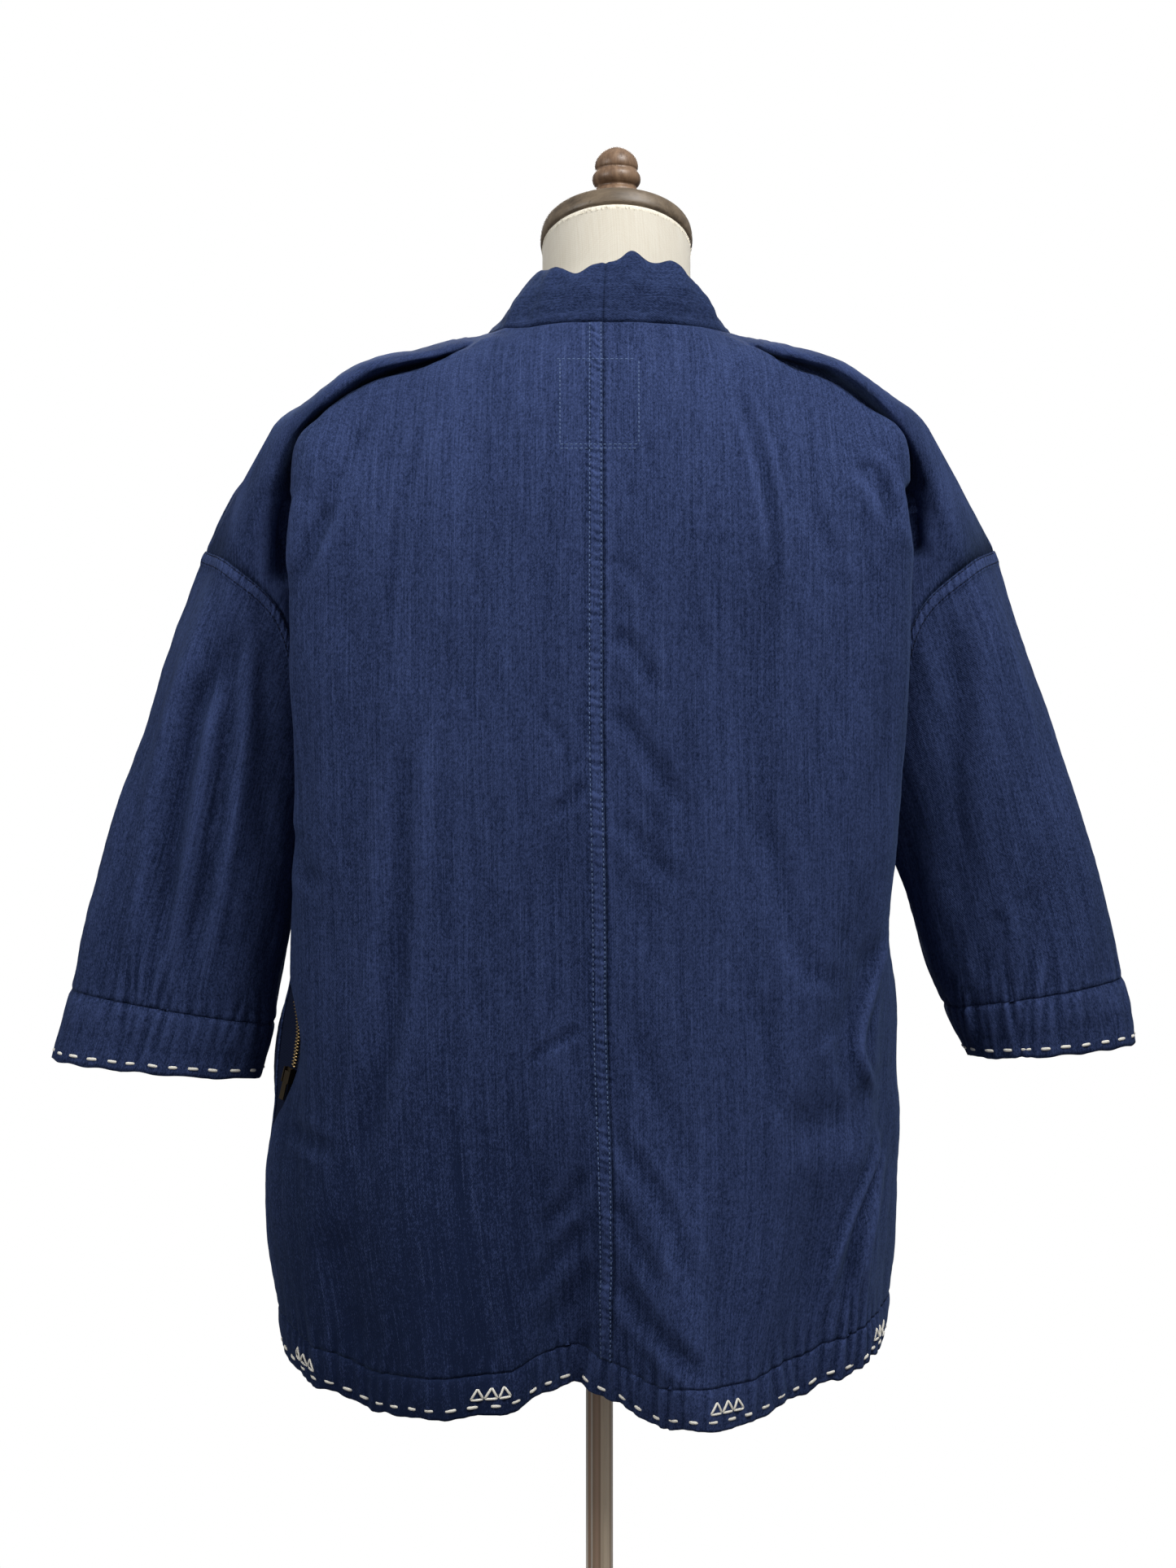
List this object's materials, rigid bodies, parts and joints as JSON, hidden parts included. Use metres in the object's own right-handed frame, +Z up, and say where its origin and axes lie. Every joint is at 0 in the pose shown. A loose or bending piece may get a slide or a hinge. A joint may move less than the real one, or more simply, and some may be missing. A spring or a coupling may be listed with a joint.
{
  "type": "kimono jacket on a limbless dress form",
  "caption": "Indigo kimono jacket with gathered hem and cuff bands and a zip pocket, hollow and worn, on a limbless linen dress form with a wooden cap, pole and round base.",
  "frame": {"origin": "centre of the base's flat underside, on the floor below the pole's axis", "axes": "+Z up, +X towards the wearer's left, -Y towards the wearer's front; the jacket's back faces +Y"},
  "size_m": [0.7955, 0.37, 1.539],
  "materials": {
    "indigo_cloth": "indigo-dyed cotton twill with uneven lighter lines along the warp",
    "indigo_band": "the same indigo cotton, doubled in bands",
    "tape_cloth": "woven navy zip tape",
    "brass": "plain brass zip metal",
    "linen": "natural cream linen, plain weave",
    "cap_wood": "dark waxed wood, worn",
    "finial_wood": "turned warm brown wood, worn",
    "pole_metal": "polished bronzed steel",
    "base_metal": "bronzed painted steel, satin"
  },
  "bodies": {
    "jacket_and_form": {"back_left": "indigo_cloth", "back_right": "indigo_cloth", "front_left": "indigo_cloth", "front_right": "indigo_cloth", "hem_band_left": "indigo_band", "hem_band_right": "indigo_band", "sleeve_left": "indigo_cloth", "sleeve_right": "indigo_cloth", "cuff_left": "indigo_band", "cuff_right": "indigo_band", "collar_left": "indigo_band", "collar_right": "indigo_band", "zip_tape": "tape_cloth", "zip_chain": "brass", "zip_slider": "brass", "form_torso": "linen", "neck_cap": "cap_wood", "finial": "finial_wood", "pole": "pole_metal", "base": "base_metal"},
    "pull_tab": {"zip_pull": "brass"}
  },
  "joints": [
    {"name": "pull_tab_swing", "type": "hinge", "parent": "jacket_and_form", "child": "pull_tab", "pos_m": [0.22417, 0.04171, 0.86303], "axis": [0.6703, -0.7156, 0.1965], "range_deg": [0, 150]}
  ]
}
